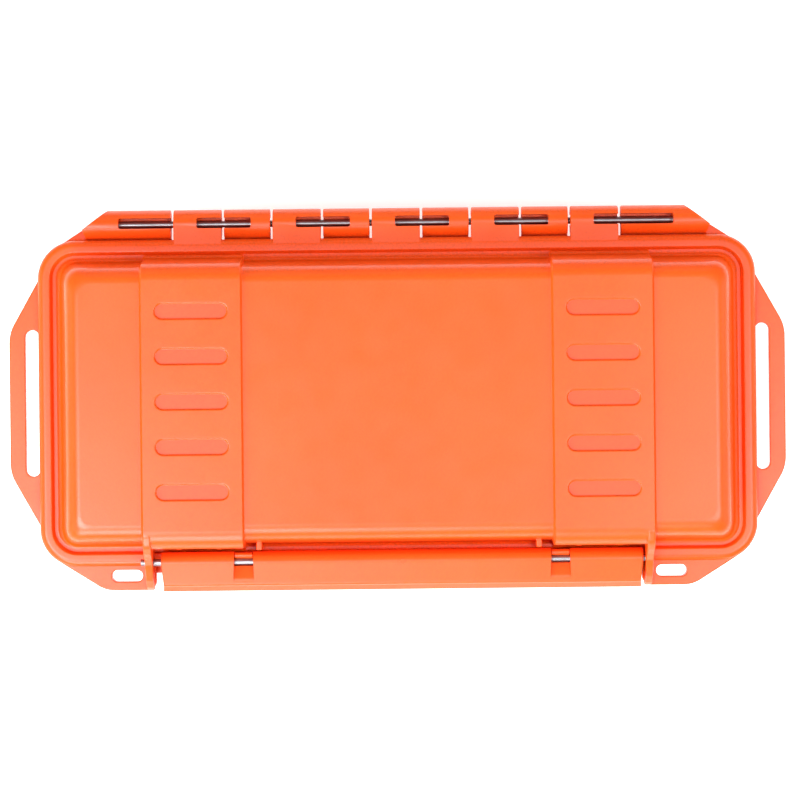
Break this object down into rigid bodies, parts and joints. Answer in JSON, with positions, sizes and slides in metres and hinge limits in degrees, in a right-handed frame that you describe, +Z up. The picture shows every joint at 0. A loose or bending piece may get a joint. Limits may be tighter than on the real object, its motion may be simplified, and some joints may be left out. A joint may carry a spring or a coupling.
{
  "type": "first aid kit",
  "caption": "Waterproof hard-shell first aid kit with ribbed lid and base, piano hinge, full-width latch, strap loops, seal, foam tray and dressings.",
  "frame": {"origin": "under the middle of the case, on the surface it stands on", "axes": "+X along the case, +Y towards the hinge, +Z up out of the lid"},
  "size_m": [0.225, 0.1112, 0.049],
  "materials": {
    "orange_shell": "fine spark-eroded texture",
    "steel": "drawn wire and sheet, satin",
    "seal_rubber": "smooth silicone",
    "foam": "closed-cell foam",
    "crepe": "crinkled elastic weave",
    "gauze": "open weave",
    "tape": "coated cloth tape",
    "white_plastic": "moulded",
    "paper_pack": "crimped paper and film",
    "foil_pack": "crimped foil sachet",
    "glove_film": "nitrile gloves in film",
    "plaster_paper": "paper wrapper",
    "black_plastic": "moulded grip"
  },
  "bodies": {
    "base": {"base_shell": "orange_shell", "hinge_pin": "steel", "foam_tray": "foam", "crepe_bandage": "crepe", "bandage_clips": "steel", "gauze_roll": "gauze", "tape_core": "white_plastic", "adhesive_tape": "tape", "dressing_pack": "paper_pack", "wipe_sachets": "foil_pack", "glove_pack": "glove_film", "plaster_strips": "plaster_paper", "tweezers": "steel", "safety_pins": "steel", "scissors_blade_lower": "steel", "scissors_handle_lower": "black_plastic", "scissors_rivet": "steel"},
    "lid": {"lid_shell": "orange_shell", "gasket": "seal_rubber", "lid_pad": "foam", "latch_pin": "steel"},
    "latch": {"latch_bar": "orange_shell"},
    "scissors": {"scissors_blade_upper": "steel", "scissors_handle_upper": "black_plastic"}
  },
  "joints": [
    {"name": "lid_hinge", "type": "hinge", "parent": "base", "child": "lid", "pos_m": [0, 0.0514, 0.028], "axis": [-1, 0, 0], "range_deg": [0, 180]},
    {"name": "latch_hinge", "type": "hinge", "parent": "lid", "child": "latch", "pos_m": [0, -0.0462, 0.0356], "axis": [-1, 0, 0], "range_deg": [0, 100]},
    {"name": "scissors_pivot", "type": "hinge", "parent": "base", "child": "scissors", "pos_m": [0.04, -0.001, 0.0306], "axis": [0, 0, -1], "range_deg": [0, 30]}
  ]
}
